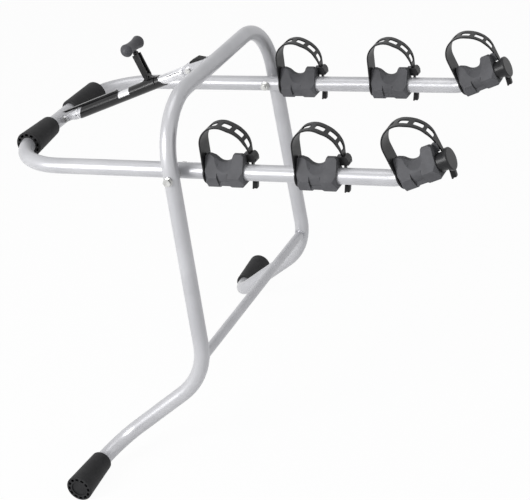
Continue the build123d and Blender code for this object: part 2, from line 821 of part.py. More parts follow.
# The strap's centre line, from the eye over the saddle to the tail
strap_x = -body_gap - strap_t / 2
with BuildPart() as strap_mould:
    with BuildLine(Plane.XZ) as strap_line:
        FilletPolyline(
            (strap_x, strap_root_rise),
            (strap_x, strap_side_z),
            (strap_crown_x[0], strap_crown_z[0]),
            (strap_crown_x[1], strap_crown_z[1]),
            (strap_crown_x[2], strap_crown_z[2]),
            (strap_drop_x, strap_drop_z[0]),
            (strap_drop_x, strap_drop_z[1]),
            (strap_tail_x[0], strap_tail_z[0]),
            (strap_tail_x[1], strap_tail_z[1]),
            radius=strap_bends,
        )
    start = Plane(origin=strap_line.line @ 0, x_dir=(0, 1, 0), z_dir=strap_line.line % 0)
    with BuildSketch(start):
        with Locations(((strap_far_edge - strap_half_width) / 2, 0)):
            Rectangle(strap_far_edge + strap_half_width, strap_t)
    sweep(path=strap_line.line)
    # The eye is a plate round the arm
    with BuildSketch(Plane.YZ.offset(-body_gap)):
        Circle(strap_eye_r)
        with Locations((0, strap_root_rise / 2)):
            Rectangle(2 * strap_half_width, strap_root_rise)
    extrude(amount=-strap_t)
    # Seen from above, both edges run in towards the buckle
    with BuildSketch(Plane.XY):
        with BuildLine():
            Polyline(
                (strap_taper_start, -strap_half_width),
                (strap_drop_x, strap_turn_near),
                (cradle_length + strap_drop_x, strap_turn_near),
                (cradle_length + strap_drop_x, -cradle_length),
                (strap_taper_start, -cradle_length),
                close=True,
            )
        make_face()
        with BuildLine():
            Polyline(
                (-overrun, strap_half_width),
                (strap_taper_start, strap_half_width),
                (strap_drop_x, strap_far_edge),
                (strap_drop_x, cradle_length),
                (-overrun, cradle_length),
                close=True,
            )
        make_face()
    extrude(amount=strap_crown_z[1] + overrun, mode=Mode.SUBTRACT)
    # Going down to the buckle the strap narrows again, to pass behind the arm
    with BuildSketch(Plane.YZ.offset(strap_crown_x[2])):
        with BuildLine():
            Polyline(
                (-cradle_length, strap_drop_z[0]),
                (strap_turn_near, strap_drop_z[0]),
                (strap_near_edge, cradle_right_shoulder + body_gap),
                (strap_tail_near, cradle_bore_r),
                (strap_tail_near, -cradle_length),
                (-cradle_length, -cradle_length),
                close=True,
            )
        make_face()
    extrude(amount=cradle_length, mode=Mode.SUBTRACT)
    with BuildSketch(Plane.YZ.offset(-overrun)):
        Circle(tube_r + body_gap)
    extrude(amount=2 * overrun, mode=Mode.SUBTRACT)
    for share in strap_slot_shares:
        spot = strap_line.line @ share
        run = strap_line.line % share
        taper = max(spot.X - strap_taper_start, 0) / (strap_drop_x - strap_taper_start)
        near_edge = taper * (strap_turn_near + strap_half_width) - strap_half_width
        far_edge = taper * (strap_far_edge - strap_half_width) + strap_half_width
        middle = Vector(spot.X, (near_edge + far_edge) / 2, spot.Z)
        with BuildSketch(Plane(origin=middle, x_dir=run, z_dir=run.cross(Vector(0, 1, 0)))):
            RectangleRounded(strap_slot_length, strap_slot_width, strap_t / 2)
        extrude(amount=strap_t, both=True, mode=Mode.SUBTRACT)

# Catch: on the straight arms the cheek runs on past the strap and closes round its far side
with BuildPart() as catch_mould:
    with BuildSketch(Plane.XZ.offset(-buckle_cheek_in)):
        with BuildLine():
            Polyline(
                (buckle_end, buckle_floor),
                (buckle_end, cradle_right_shoulder),
                (catch_end - catch_round, cradle_right_shoulder),
                (catch_end, cradle_right_shoulder - 2 * catch_round),
                (catch_end, buckle_floor),
                close=True,
            )
        make_face()
    extrude(amount=buckle_cheek_in - buckle_far)
    with BuildSketch(Plane.XZ.offset(-buckle_cheek_in)):
        with Locations(((buckle_end + catch_start) / 2, cradle_length / 2)):
            Rectangle(catch_start - buckle_end, cradle_length)
    extrude(amount=buckle_cheek_in - buckle_far, mode=Mode.SUBTRACT)
    with BuildSketch(Plane.XZ.offset(-buckle_cheek_in)):
        with Locations(((buckle_end + catch_start) / 2, (buckle_floor + cradle_right_shoulder) / 2)):
            Rectangle(catch_start - buckle_end, cradle_right_shoulder - buckle_floor)
    extrude(amount=-buckle_cheek_t)

# Cradles, straps and their screws, set on both arms
for place, seat in cradle_seats.items():
    with BuildPart() as cradle:
        with Locations(seat.location):
            add(cradle_mould.part)
            if seat.x_dir.Z == 0:
                add(catch_mould.part)
    save(cradle, f"cradle_{place}")
    with BuildPart() as strap:
        with Locations(seat.location):
            add(strap_mould.part)
    save(strap, f"strap_{place}")

with BuildPart() as cradle_screws:
    for seat in cradle_seats.values():
        under = Plane(
            origin=seat.from_local_coords((saddle_x, 0, notch_depth - cradle_bottom)),
            x_dir=seat.x_dir,
            z_dir=seat.z_dir,
        )
        with BuildSketch(under):
            Circle(screw_head_r)
        extrude(amount=screw_head_h)
        with BuildSketch(under):
            Circle(screw_r)
        extrude(amount=cradle_bottom - notch_depth - tube_bore_r + screw_bite)
save(cradle_screws, "cradle_screws")

# End caps close the arm tips, behind the outer cradles
cap_start_at = tip_cradle_at + cradle_length + body_gap
for side, place in ((-1, "near"), (1, "far")):
    sleeve_seat = Plane(origin=tip_point(side, cap_start_at), z_dir=(cos(tip_tilt), 0, sin(tip_tilt)))
    sleeve_length = tip_length + bore_gap - cap_start_at
    with BuildPart() as end_cap:
        with BuildSketch(sleeve_seat):
            Circle(cap_sleeve_r)
        extrude(amount=sleeve_length)
        with BuildSketch(sleeve_seat.offset(sleeve_length)):
            Circle(cap_head_r)
        extrude(amount=cap_head_t)
        fillet(end_cap.edges().filter_by(GeomType.CIRCLE).sort_by(Axis.X)[-1:], radius=cap_edge_r)
        with BuildSketch(sleeve_seat):
            Circle(tube_r + bore_gap)
        extrude(amount=sleeve_length, mode=Mode.SUBTRACT)
    save(end_cap, f"end_cap_{place}")
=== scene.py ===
import json
from math import cos, pi, radians, sin, sqrt, tan

import bmesh
import bpy
from mathutils import Matrix, Vector
from mathutils.bvhtree import BVHTree


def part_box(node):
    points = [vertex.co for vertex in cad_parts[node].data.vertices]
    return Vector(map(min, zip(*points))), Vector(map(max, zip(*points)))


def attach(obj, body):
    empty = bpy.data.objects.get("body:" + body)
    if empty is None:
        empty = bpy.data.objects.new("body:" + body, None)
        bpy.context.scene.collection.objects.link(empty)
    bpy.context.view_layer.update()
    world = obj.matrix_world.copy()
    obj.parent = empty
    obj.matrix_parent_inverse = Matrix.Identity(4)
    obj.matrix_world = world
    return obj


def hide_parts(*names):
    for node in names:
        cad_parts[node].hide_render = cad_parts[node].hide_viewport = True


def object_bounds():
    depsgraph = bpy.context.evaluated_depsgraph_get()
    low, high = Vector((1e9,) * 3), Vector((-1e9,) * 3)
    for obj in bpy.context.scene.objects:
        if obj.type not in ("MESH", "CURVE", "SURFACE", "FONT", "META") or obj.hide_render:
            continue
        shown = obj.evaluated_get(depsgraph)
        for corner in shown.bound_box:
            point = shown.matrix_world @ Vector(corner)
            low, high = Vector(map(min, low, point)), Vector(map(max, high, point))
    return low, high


# A trunk mounted bike rack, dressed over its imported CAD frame. Metres, +Z up, +X out along the
# arms, -Y the near side. Sizes that go through mm(), outlines and bevel widths are in millimetres.

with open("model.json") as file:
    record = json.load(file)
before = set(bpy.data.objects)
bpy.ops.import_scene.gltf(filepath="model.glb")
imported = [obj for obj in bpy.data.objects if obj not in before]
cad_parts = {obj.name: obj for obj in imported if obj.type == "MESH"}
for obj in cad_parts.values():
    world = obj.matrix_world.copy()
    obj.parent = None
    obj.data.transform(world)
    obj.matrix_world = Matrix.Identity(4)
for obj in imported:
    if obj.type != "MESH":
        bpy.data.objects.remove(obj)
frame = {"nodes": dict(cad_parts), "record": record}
cad_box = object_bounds()
nodes = frame["nodes"]
scene = bpy.context.scene


def mm(*values):
    return Vector([v / 1000.0 for v in values])


def full_turn(count):
    """Angles in even steps round a circle."""
    return [2 * pi * k / count for k in range(count)]


def share(length, whole):
    """Length as a share of the whole, kept from 0 to 1."""
    return min(max(length / whole, 0.0), 1.0)


def add_node(tree, kind, values=None, links=None):
    """A shader node, with the values of its inputs and the outputs that feed them."""
    node = tree.nodes.new(kind)
    for socket, value in (values or {}).items():
        node.inputs[socket].default_value = value
    for socket, output in (links or {}).items():
        tree.links.new(output, node.inputs[socket])
    return node


# Materials: a broad noise tints the colour, a fine one sets the roughness and the bump

BROAD_DETAIL, FINE_DETAIL = 5.0, 3.0
TONE_SPAN = (0.35, 0.65)      # share of the broad noise that runs from dark to light
ROUGH_SPAN = (0.3, 0.7)       # share of the fine noise that runs over the roughness
COAT_ROUGHNESS = 0.08


def finish_kind(name, dark, light, rough, grain, patch, lift, depth=0.0002, metallic=0.0,
                coat=0.0, specular=0.5):
    """Grain and patch are the scales of the fine and broad noise, lift and depth the bump's."""
    material = bpy.data.materials.new(name)
    material.use_nodes = True
    tree = material.node_tree
    surface = tree.nodes["Principled BSDF"]
    for socket, value in {
        "Base Color": (*light, 1.0),
        "Roughness": rough[1],
        "Metallic": metallic,
        "Coat Weight": coat,
        "Coat Roughness": COAT_ROUGHNESS,
        "Specular IOR Level": specular,
    }.items():
        surface.inputs[socket].default_value = value

    place = add_node(tree, "ShaderNodeTexCoord").outputs["Object"]

    def noise(scale, detail):
        values = {"Scale": scale, "Detail": detail}
        return add_node(tree, "ShaderNodeTexNoise", values, {"Vector": place}).outputs["Fac"]

    broad = noise(patch, BROAD_DETAIL)
    fine = noise(grain, FINE_DETAIL)
    tones = add_node(tree, "ShaderNodeValToRGB", links={"Fac": broad})
    for index, tone in enumerate((dark, light)):
        stop = tones.color_ramp.elements[index]
        stop.position = TONE_SPAN[index]
        stop.color = (*tone, 1.0)
    roughness = add_node(tree, "ShaderNodeMapRange", {
        "From Min": ROUGH_SPAN[0],
        "From Max": ROUGH_SPAN[1],
        "To Min": rough[0],
        "To Max": rough[1],
    }, {"Value": fine})
    bump = add_node(tree, "ShaderNodeBump", {"Strength": lift, "Distance": depth},
                    {"Height": fine})
    tree.links.new(tones.outputs["Color"], surface.inputs["Base Color"])
    tree.links.new(roughness.outputs["Result"], surface.inputs["Roughness"])
    tree.links.new(bump.outputs["Normal"], surface.inputs["Normal"])
    return material


by_slot = {
    "frame_paint": finish_kind(
        "silver_paint", (0.50, 0.50, 0.52), (0.56, 0.56, 0.58), rough=(0.30, 0.40),
        grain=2600.0, patch=14.0, lift=0.06, depth=0.0001, metallic=0.35),
    "pad_rubber": finish_kind(
        "pad_rubber", (0.011, 0.011, 0.012), (0.018, 0.018, 0.019), rough=(0.55, 0.72),
        grain=1400.0, patch=60.0, lift=0.35, depth=0.0003, specular=0.25),
    "zinc_steel": finish_kind(
        "zinc_plate", (0.50, 0.50, 0.49), (0.72, 0.72, 0.71), rough=(0.22, 0.38),
        grain=1500.0, patch=160.0, lift=0.1, metallic=1.0),
    "strut_black": finish_kind(
        "gloss_black", (0.006, 0.006, 0.007), (0.010, 0.010, 0.011), rough=(0.26, 0.32),
        grain=1200.0, patch=30.0, lift=0.01, coat=0.2, specular=0.3),
    "strut_grey": finish_kind(
        "ferrule_grey", (0.48, 0.48, 0.50), (0.62, 0.62, 0.64), rough=(0.40, 0.52),
        grain=1200.0, patch=120.0, lift=0.08, metallic=0.25),
    "strut_bright": finish_kind(
        "bright_tube", (0.74, 0.74, 0.76), (0.84, 0.84, 0.86), rough=(0.26, 0.34),
        grain=900.0, patch=60.0, lift=0.03, metallic=0.55),
    "cradle_plastic": finish_kind(
        "cradle_plastic", (0.092, 0.092, 0.098), (0.114, 0.114, 0.122), rough=(0.50, 0.64),
        grain=2200.0, patch=40.0, lift=0.22, specular=0.16),
    "strap_rubber": finish_kind(
        "strap_rubber", (0.006, 0.006, 0.007), (0.011, 0.011, 0.012), rough=(0.34, 0.50),
        grain=1500.0, patch=80.0, lift=0.15, specular=0.28),
    "cap_plastic": finish_kind(
        "cap_plastic", (0.010, 0.010, 0.011), (0.016, 0.016, 0.018), rough=(0.28, 0.42),
        grain=1800.0, patch=60.0, lift=0.15, specular=0.3),
    "grip_plastic": finish_kind(
        "grip_plastic", (0.056, 0.056, 0.062), (0.078, 0.078, 0.086), rough=(0.42, 0.55),
        grain=1600.0, patch=50.0, lift=0.25, specular=0.3),
}
weld_metal = finish_kind(
    "weld_bead", (0.42, 0.42, 0.45), (0.60, 0.60, 0.63), rough=(0.35, 0.5),
    grain=700.0, patch=300.0, lift=0.5, depth=0.0004, metallic=0.6)

# Two nodes look unlike the rest of their slot
painted_apart = {"lever_pin": "strut_black", "bracket_cap": "pad_rubber"}
slot_of = {s["node"]: s["material_slot"] for s in frame["record"]["subparts"]}
for name, node in nodes.items():
    node.data.materials.clear()
    node.data.materials.append(by_slot[painted_apart.get(name, slot_of[name])])

# Helpers for new pieces


def soften(obj, width, angle, segments):
    """Rounded edges, width in millimetres, where faces meet at more than the angle in degrees."""
    mod = obj.modifiers.new("soft_edges", "BEVEL")
    mod.width = width / 1000.0
    mod.segments = segments
    mod.limit_method = "ANGLE"
    mod.angle_limit = radians(angle)
    mod.use_clamp_overlap = True


def piece(name, bm, body, slot, material=None, smooth=True):
    """An object from bm that rides on the body, in its slot's material unless one is given."""
    mesh = bpy.data.meshes.new(name)
    bmesh.ops.recalc_face_normals(bm, faces=bm.faces[:])
    bm.to_mesh(mesh)
    bm.free()
    for polygon in mesh.polygons:
        polygon.use_smooth = smooth
    obj = bpy.data.objects.new(name, mesh)
    scene.collection.objects.link(obj)
    mesh.materials.append(material or by_slot[slot])
    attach(obj, body)
    return obj


def ring_rows(bm, rows, closed_rows=False):
    """Faces between rings of points, and from the last ring to the first where closed."""
    for a, b in zip(rows, rows[1:] + ([rows[0]] if closed_rows else [])):
        n = len(a)
        for i in range(n):
            bm.faces.new((a[i], a[(i + 1) % n], b[(i + 1) % n], b[i]))


def prism(bm, place_in, outline, y0, y1):
    """An outline in x and z, drawn out across the arm."""
    near = [bm.verts.new(place_in @ mm(x, y0, z)) for x, z in outline]
    far = [bm.verts.new(place_in @ mm(x, y1, z)) for x, z in outline]
    bm.faces.new(near)
    bm.faces.new(far[::-1])
    n = len(outline)
    for i in range(n):
        bm.faces.new((near[i], near[(i + 1) % n], far[(i + 1) % n], far[i]))


def turned(bm, place_in, profile, around=48):
    """A ring or sleeve about the x axis, from a closed outline of x and radius."""
    rows = [[bm.verts.new(place_in @ mm(x, r * cos(a), r * sin(a))) for x, r in profile]
            for a in full_turn(around)]
    ring_rows(bm, rows, closed_rows=True)


def bead(bm, spots, radius, closed, ripple=0.22, around=10):
    """A round rope along a row of points, rippled as a weld is. The radius is in metres."""
    n = len(spots)
    rows = []
    side = None
    for i, spot in enumerate(spots):
        before = spots[(i - 1) % n] if closed or i else spot
        after = spots[(i + 1) % n] if closed or i < n - 1 else spot
        along = (after - before).normalized()
        if i:
            side = (side - along * side.dot(along)).normalized()
        else:
            side = along.orthogonal().normalized()
        other = along.cross(side)
        r = radius * (1.0 + ripple * cos(i * pi))
        rows.append([bm.verts.new(spot + (side * cos(a) + other * sin(a)) * r)
                     for a in full_turn(around)])
    ring_rows(bm, rows, closed_rows=closed)
    if not closed:
        bm.faces.new(rows[0])
        bm.faces.new(rows[-1])


# Cradles' seats on the arms: the middle of each cradle's left face, and how its axis leans

ARM_Y = 205.5                  # from the middle of the rack to an arm's axis
TIP_TILT = radians(22.0)
TIP_GAP = 10.0                 # from the corner of the arm's tip to the third cradle
ARMS = (                       # arm, side, left faces of the straight cradles, tip's corner
    ("near", -1, (55.0, 221.0), 389.0),
    ("far", 1, (33.0, 216.0), 380.0),
)

seats = {}
for arm, side, faces, corner in ARMS:
    for number, face_x in enumerate(faces, 1):
        seats[f"{arm}_{number}"] = Matrix.Translation(mm(face_x, side * ARM_Y, 0))
    start = mm(corner + TIP_GAP * cos(TIP_TILT), side * ARM_Y, TIP_GAP * sin(TIP_TILT))
    seats[f"{arm}_3"] = Matrix.Translation(start) @ Matrix.Rotation(-TIP_TILT, 4, "Y")

# Strap: a curved rubber band with a row of slots, an eye round the arm and a pull tab.
# Its route is in x and z of the seat, and lengths along it start at the eye.

STRAP_T = 2.7                  # thickness of the band
STRAP_ROUTE = [(-1.95, 15.6), (-1.95, 67.0), (15.4, 84.4), (40.5, 87.9), (62.3, 72.7),
               (74.0, 52.5), (74.0, 10.0), (73.0, -14.0), (69.0, -38.0)]
STRAP_BENDS = [33.0, 30.0, 36.0, 52.0, 42.0, 100.0, 100.0]
ROUTE_STEP, ROW_STEP = 0.5, 3.0

SADDLE_X = 34.0                # middle of the cradle, where the band is at its top
BAND_HALF = 18.0               # half width on the way up
SHIFT_X, SHIFT_LENGTH = 50.0, 24.0        # past the top the band moves towards the buckle,
SHIFT_NEAR, SHIFT_FAR = 14.0, 6.5         # its two edges by this much
NECK_Z, NECK_LENGTH, NECK_IN = 52.5, 21.7, 13.5       # below this height it narrows,
TAIL_Z, TAIL_LENGTH, TAIL_IN = 30.8, 16.65, 6.6       # and below this one again
NECK_NEAR = -BAND_HALF + SHIFT_NEAR
TAIL_NEAR = NECK_NEAR + NECK_IN
TAIL_FAR = BAND_HALF + SHIFT_FAR

SLOT_MIDDLES = (80.0, 104.0, 128.0, 151.0)
SLOT_HALF = 8.2
SLOT_ROWS = (1.0, 0.0, -1.8)   # rows of points, counted outwards from each end of a slot
SLOT_MIDDLE_ROW = 3.0          # rows of points to each side of its middle
SLOT_CLEAR = 2.0               # no plain row of points this near to a slot
SLOT_WIDE, SLOT_RIM = 7.4, 4.6            # half width of a slot, and least rim beside it
NARROW_HALF, NARROW_SHARE = 7.0, 0.34     # the same columns where the band is narrow
EDGE = 0.9                     # from an edge to the column of points beside it
SLOT_COLUMNS = (3, 4)          # columns of faces that a slot leaves open


def rounded_route(points, radii, step):
    """Points along straight runs joined by arcs."""
    corners = [Vector(p) for p in points]
    out = []

    def straight(a, b):
        d = b - a
        n = max(1, round(d.length / step))
        for i in range(n):
            out.append(a + d * (i / n))

    here = corners[0]
    for i, r in enumerate(radii, 1):
        d1 = (corners[i] - corners[i - 1]).normalized()
        d2 = (corners[i + 1] - corners[i]).normalized()
        bend = d1.angle(d2)
        cut = r * tan(bend / 2)
        first = corners[i] - d1 * cut
        straight(here, first)
        sign = 1.0 if d1.x * d2.y - d1.y * d2.x > 0 else -1.0
        middle = first + Vector((-d1.y, d1.x)) * r * sign
        spoke = first - middle
        n = max(2, round(r * bend / step))
        for k in range(n):
            a = sign * bend * k / n
            c, s = cos(a), sin(a)
            out.append(middle + Vector((spoke.x * c - spoke.y * s, spoke.x * s + spoke.y * c)))
        here = corners[i] + d2 * cut
    straight(here, corners[-1])
    out.append(corners[-1])
    return out


def strap_edges(x, z, past_top):
    """Near and far edge of the band across the arm, at a place on its route."""
    shift = share(x - SHIFT_X, SHIFT_LENGTH) if past_top else 0.0
    near = -BAND_HALF + shift * SHIFT_NEAR
    far = BAND_HALF + shift * SHIFT_FAR
    if past_top and z < NECK_Z:
        near = NECK_NEAR + NECK_IN * share(NECK_Z - z, NECK_LENGTH)
        far = TAIL_FAR
    if past_top and z < TAIL_Z:
        near = TAIL_NEAR + TAIL_IN * share(TAIL_Z - z, TAIL_LENGTH)
    return near, far


def strap_band(bm, place_in):
    """One layer of faces along the route, open at the slots."""
    dense = rounded_route(STRAP_ROUTE, STRAP_BENDS, ROUTE_STEP)
    lengths = [0.0]
    for a, b in zip(dense, dense[1:]):
        lengths.append(lengths[-1] + (b - a).length)
    total = lengths[-1]

    stops = {0.0, total}
    length = 0.0
    while length < total:
        stops.add(length)
        length += ROW_STEP
    for m in SLOT_MIDDLES:
        low, high = m - SLOT_HALF, m + SLOT_HALF
        stops = {q for q in stops if not low - SLOT_CLEAR < q < high + SLOT_CLEAR}
        stops |= {low - past for past in SLOT_ROWS} | {high + past for past in SLOT_ROWS}
        stops |= {m - SLOT_MIDDLE_ROW, m + SLOT_MIDDLE_ROW}
    stops = sorted(stops)

    rows = []
    past_top = False
    for q in stops:
        spot = dense[min(range(len(lengths)), key=lambda i: abs(lengths[i] - q))]
        past_top = past_top or spot.x > SADDLE_X
        near, far = strap_edges(spot.x, spot.y, past_top)
        mid, half = (near + far) / 2, (far - near) / 2
        slot = min(SLOT_WIDE, half - SLOT_RIM) if half > NARROW_HALF else half * NARROW_SHARE
        ys = (near, near + EDGE, mid - slot - EDGE, mid - slot, mid,
              mid + slot, mid + slot + EDGE, far - EDGE, far)
        rows.append([bm.verts.new(place_in @ mm(spot.x, y, spot.y)) for y in ys])
    for q0, q1, r0, r1 in zip(stops, stops[1:], rows, rows[1:]):
        in_slot = any(abs((q0 + q1) / 2 - m) < SLOT_HALF for m in SLOT_MIDDLES)
        for c in range(len(r0) - 1):
            if not (in_slot and c in SLOT_COLUMNS):
                bm.faces.new((r0[c], r0[c + 1], r1[c + 1], r1[c]))


EYE_POINTS = 72
EYE_BORE, EYE_REACH = 14.4, 21.0          # radii of the eye round the arm
EYE_TOP = 24.0                            # height at which it has widened into the band
EYE_EDGE = 0.5                            # bevel of its outer edges
EYE_LEFT, EYE_RIGHT = -3.45, -0.45        # its two flat faces, in x of the seat


def strap_eye(bm, place_in):
    """The flat eye round the arm, widened upwards into the band."""
    outer, inner = [], []
    for a in full_turn(EYE_POINTS):
        up, out = cos(a), sin(a)
        reach = EYE_REACH
        if up > 0.0:
            reach = max(reach, min(EYE_TOP / up, BAND_HALF / max(abs(out), 1e-6)))
        outer.append((out * reach, up * reach))
        inner.append((out * EYE_BORE, up * EYE_BORE))
    rows = []
    for ring, x, inset in (
        (inner, EYE_RIGHT, 0.0),
        (outer, EYE_RIGHT, EYE_EDGE),
        (outer, EYE_RIGHT - EYE_EDGE, 0.0),
        (outer, EYE_LEFT + EYE_EDGE, 0.0),
        (outer, EYE_LEFT, EYE_EDGE),
        (inner, EYE_LEFT, 0.0),
    ):
        row = []
        for y, z in ring:
            r = sqrt(y * y + z * z)
            f = (r - inset) / r
            row.append(bm.verts.new(place_in @ mm(x, y * f, z * f)))
        rows.append(row)
    ring_rows(bm, rows, closed_rows=True)


TAB_MIDDLE, TAB_HALF = (73.6, 20.3, -30.5), (4.4, 4.9, 6.6)
TAB_LEAN = -0.16               # radians, follows the tail
TAB_POWER = 0.28               # 1 is an ellipsoid, 0 a box
TAB_RINGS, TAB_POINTS = 18, 28


def strap_tab(bm, place_in):
    """The rounded block at the end of the tail."""

    def soft(v):
        return (1.0 if v >= 0 else -1.0) * abs(v) ** TAB_POWER

    rows = []
    for i in range(1, TAB_RINGS):
        a = pi * i / TAB_RINGS
        row = []
        for b in full_turn(TAB_POINTS):
            x = soft(sin(a)) * soft(cos(b)) * TAB_HALF[0]
            y = soft(sin(a)) * soft(sin(b)) * TAB_HALF[1]
            z = soft(cos(a)) * TAB_HALF[2]
            spot = (x * cos(TAB_LEAN) - z * sin(TAB_LEAN), y,
                    x * sin(TAB_LEAN) + z * cos(TAB_LEAN))
            spot = [middle + offset for middle, offset in zip(TAB_MIDDLE, spot)]
            row.append(bm.verts.new(place_in @ mm(*spot)))
        rows.append(row)
    ring_rows(bm, rows)
    bm.faces.new(rows[0])
    bm.faces.new(rows[-1])


# On the straight arms the catch is a black shell over the end of the cradle's cheek:
# outlines in x and z of its cheek, its inner side and the lip at its end, each with its y

CATCH_PARTS = (
    ([(75.9, 15.7), (75.9, 30.8), (79.4, 30.8), (82.8, 28.0), (84.8, 23.0), (84.8, 15.7)],
     6.2, 25.3),
    ([(69.6, 16.4), (69.6, 29.7), (71.0, 30.8), (76.4, 30.8), (76.4, 15.7), (70.4, 15.7)],
     6.2, 9.0),
    ([(84.6, 16.6), (84.6, 21.8), (85.8, 21.0), (85.8, 17.2)],
     9.0, 22.4),
)

for place, seat in seats.items():
    body = f"strap_body_{place}"
    bm = bmesh.new()
    strap_band(bm, seat)
    band = piece(f"strap_band_{place}", bm, body, "strap_rubber")
    sub = band.modifiers.new("round", "SUBSURF")
    sub.levels = 1
    sub.render_levels = 1
    thick = band.modifiers.new("thick", "SOLIDIFY")
    thick.thickness = STRAP_T / 1000.0
    thick.offset = 0.0
    soften(band, width=0.6, angle=50.0, segments=2)
    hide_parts(f"strap_{place}")

    bm = bmesh.new()
    strap_eye(bm, seat)
    eye = piece(f"strap_eye_{place}", bm, body, "strap_rubber")
    soften(eye, width=0.3, angle=40.0, segments=1)

    bm = bmesh.new()
    strap_tab(bm, seat)
    piece(f"strap_tab_{place}", bm, body, "strap_rubber")

    if not place.endswith("_3"):
        bm = bmesh.new()
        for outline, y0, y1 in CATCH_PARTS:
            prism(bm, seat, outline, y0, y1)
        catch = piece(f"strap_catch_{place}", bm, "arms", "cap_plastic", smooth=False)
        soften(catch, width=1.1, angle=30.0, segments=3)

# Thin near-black lines round both ends of each cradle's round neck, on its near and far side

NECK_ENDS = (22.4, 41.6)       # in x of the seat
NECK_R = 19.35
LINE_ANGLES = [radians(-38.0 + 4.0 * k) for k in range(14)]
LINE_R = 0.0005                # in metres

for place, seat in seats.items():
    soften(nodes[f"cradle_{place}"], width=0.8, angle=24.0, segments=2)
    bm = bmesh.new()
    for x in NECK_ENDS:
        for side in (-1, 1):
            spots = [seat @ mm(x, side * NECK_R * cos(a), NECK_R * sin(a)) for a in LINE_ANGLES]
            bead(bm, spots, LINE_R, closed=False, ripple=0.0, around=6)
    piece(f"cradle_lines_{place}", bm, "arms", "cap_plastic")

# Soft edges of the other nodes

NODE_BEVELS = {
    "strut_rail": 0.9,
    "lever_channel": 0.7,
    "lever_mount": 0.8,
    "strut_bracket": 0.7,
    "base_lug": 0.7,
    "bracket_cap": 0.8,
    "pivot_bolts": 0.5,
    "pivot_nuts": 0.5,
    "strut_top_bolt": 0.4,
    "strut_top_nut": 0.4,
    "strut_base_bolt": 0.4,
    "strut_base_nut": 0.4,
    "cradle_screws": 0.4,
    "strut_outer": 0.4,
    "strut_inner": 0.3,
    "strut_ferrule": 0.4,
}
for name, width in NODE_BEVELS.items():
    soften(nodes[name], width, angle=30.0, segments=2)

# Weld beads round both ends of the crossbar, set a little into the legs, in metres

BAR_R = 0.0093
BAR_WELD_R, BAR_WELD_SINK, BAR_WELD_POINTS = 0.0017, 0.0004, 64

leg_tree = BVHTree.FromObject(nodes["frame_tube"], bpy.context.evaluated_depsgraph_get())
bar_low, bar_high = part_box("lower_crossbar")
bar_x = (bar_low[0] + bar_high[0]) / 2
bar_z = (bar_low[2] + bar_high[2]) / 2
bm = bmesh.new()
for side in (-1, 1):
    outwards = Vector((0, side, 0))
    spots = []
    for a in full_turn(BAR_WELD_POINTS):
        start = Vector((bar_x + BAR_R * cos(a), 0.0, bar_z + BAR_R * sin(a)))
        spots.append(leg_tree.ray_cast(start, outwards)[0] - outwards * BAR_WELD_SINK)
    bead(bm, spots, BAR_WELD_R, closed=True)
piece("crossbar_welds", bm, "main_frame", "frame_paint", weld_metal)

# Weld beads along the ears of the upper bracket and of the lower lug, round their tubes

EAR_WELD_R, EAR_WELD_HALF_STEPS = 0.0013, 13
EAR_TUBE_R = 0.0142            # just above the tubes' surface, in metres
FRAME_LEAN, FRAME_TOP = radians(1.64), 121.5      # top tube from the pivot, along the legs
TOP_TUBE = mm(-FRAME_TOP * sin(FRAME_LEAN), 0, FRAME_TOP * cos(FRAME_LEAN))
BASE_TUBE = mm(-353.5, 0, 0)
STRUT_FOOT = mm(-332.5, 0, 4.6)                   # the strut's two bolts
STRUT_HEAD = mm(-57.4, 0, 105.0)


def ear_welds(name, tube_middle, towards, half_angle, y, body):
    """Two beads round a tube, at -y and y, over an arc that faces a point."""
    bm = bmesh.new()
    start = (towards - tube_middle).normalized()
    across = Vector((-start.z, 0.0, start.x))
    for weld_y in (-y, y):
        spots = []
        for k in range(2 * EAR_WELD_HALF_STEPS + 1):
            a = half_angle * (k / EAR_WELD_HALF_STEPS - 1.0)
            arm = (start * cos(a) + across * sin(a)) * EAR_TUBE_R
            spots.append(tube_middle + arm + Vector((0, weld_y, 0)))
        bead(bm, spots, EAR_WELD_R, closed=False)
    piece(name, bm, body, "frame_paint", weld_metal)


ear_welds("bracket_welds", TOP_TUBE, STRUT_HEAD, half_angle=0.88, y=0.0068, body="main_frame")
ear_welds("lug_welds", BASE_TUBE, STRUT_FOOT, half_angle=0.44, y=0.0066, body="arms")

# Strut's own axes: x from the lower bolt towards the upper one, z above the tube

strut_x = (STRUT_HEAD - STRUT_FOOT).normalized()
strut_z = Vector((-strut_x.z, 0.0, strut_x.x))
strut_axes = Matrix((strut_x, Vector((0, 1, 0)), strut_z)).transposed()
strut = Matrix.Translation(STRUT_FOOT) @ strut_axes.to_4x4()

# Bright ring on the ferrule, before the outer tube
FERRULE_RING = [(29.9, 9.30), (29.9, 10.2), (30.4, 10.7), (32.2, 10.7), (32.7, 10.2),
                (32.7, 9.30)]
bm = bmesh.new()
turned(bm, strut, FERRULE_RING)
ferrule_ring = piece("ferrule_ring", bm, "strut_body", "strut_bright")
soften(ferrule_ring, width=0.2, angle=30.0, segments=2)

# Upper end of the inner tube, round up to the bracket, with two grooves pressed into it
TUBE_END = [(238.5, 9.42), (239.5, 9.48), (276.0, 9.48), (279.0, 9.2), (281.0, 8.3), (281.6, 7.0),
            (281.6, 5.5), (278.0, 8.6), (238.5, 8.9)]
TUBE_END_POINTS = 180
PRESSED_LINES = (radians(64.0), radians(349.0))       # round the tube, from its top
PRESS_DEPTH, PRESS_HALF_ANGLE = 1.0, 0.08
# Black strips laid in the two grooves: painted dark reflections of the polished tube
PAINTED_REFLECTION_STRIP = [(240.5, 8.6), (275.5, 8.6), (274.5, 9.25), (241.5, 9.25)]
PAINTED_REFLECTION_HALF = 0.7

